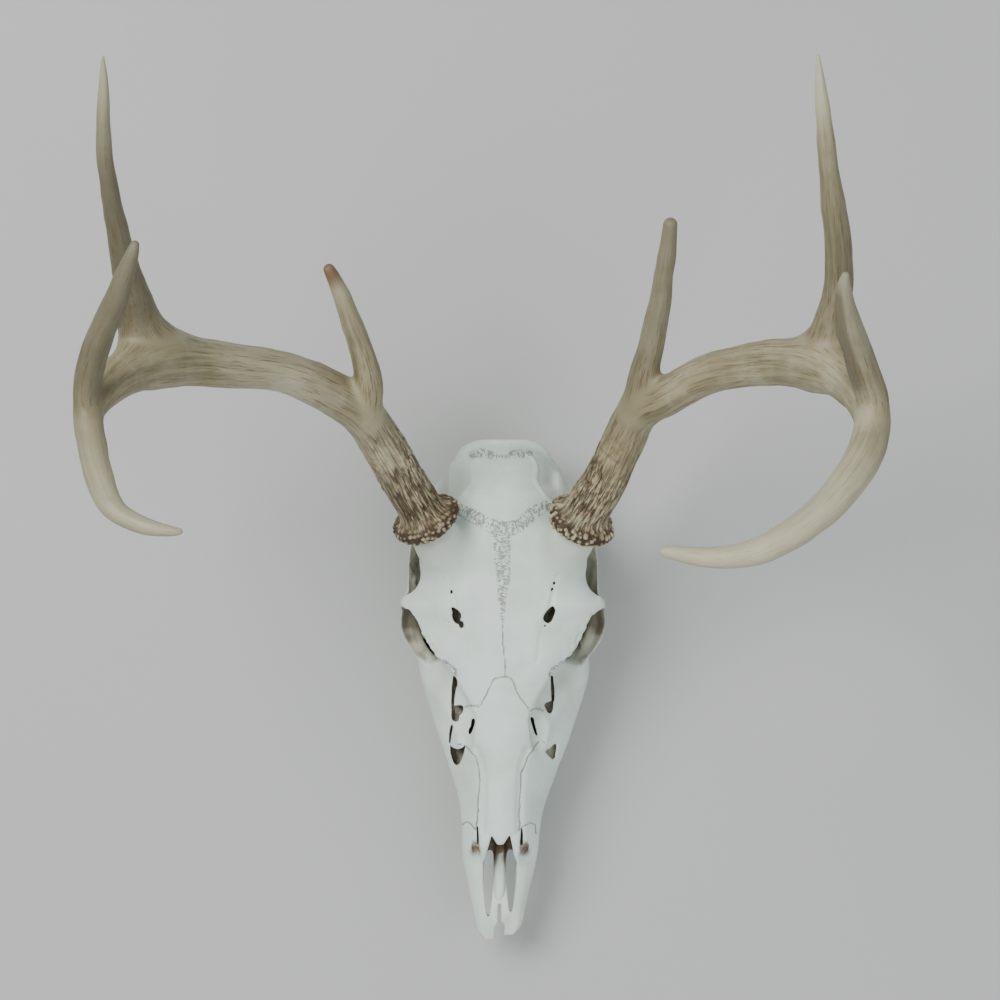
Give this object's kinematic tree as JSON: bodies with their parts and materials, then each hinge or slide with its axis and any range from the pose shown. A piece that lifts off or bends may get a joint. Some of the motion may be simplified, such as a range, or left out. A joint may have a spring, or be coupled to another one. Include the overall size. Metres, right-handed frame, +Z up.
{
  "type": "deer skull",
  "caption": "White-tailed buck's skull with both branched antlers and no lower jaw, lying on its back teeth and the processes behind them.",
  "frame": {"origin": "on the table under the middle of the object's box", "axes": "+Z up, -Y towards the nose, +X towards the animal's left"},
  "size_m": [0.3992, 0.4654, 0.3648],
  "materials": {
    "bone": "dry cleaned bone, cool pale grey-white",
    "burr": "rough knobbed antler, brown with cream pearls",
    "antler": "grooved antler, brown at the foot, tan above and ivory at the tips"
  },
  "bodies": {
    "root": {"occipital": "bone", "parietal": "bone", "sphenoid": "bone", "temporal_left": "bone", "temporal_right": "bone", "frontal_left": "bone", "frontal_right": "bone", "lacrimal_left": "bone", "lacrimal_right": "bone", "cheekbone_left": "bone", "cheekbone_right": "bone", "nasal_left": "bone", "nasal_right": "bone", "maxilla_left": "bone", "maxilla_right": "bone", "premaxilla_left": "bone", "premaxilla_right": "bone", "palatine_left": "bone", "palatine_right": "bone", "left_burr": "burr", "right_burr": "burr", "left_beam_base": "antler", "left_brow_tine": "antler", "left_beam_middle": "antler", "left_second_tine": "antler", "left_beam_bend": "antler", "left_third_tine": "antler", "left_beam_front": "antler", "right_beam_base": "antler", "right_brow_tine": "antler", "right_beam_middle": "antler", "right_second_tine": "antler", "right_beam_bend": "antler", "right_third_tine": "antler", "right_beam_front": "antler"}
  },
  "joints": []
}
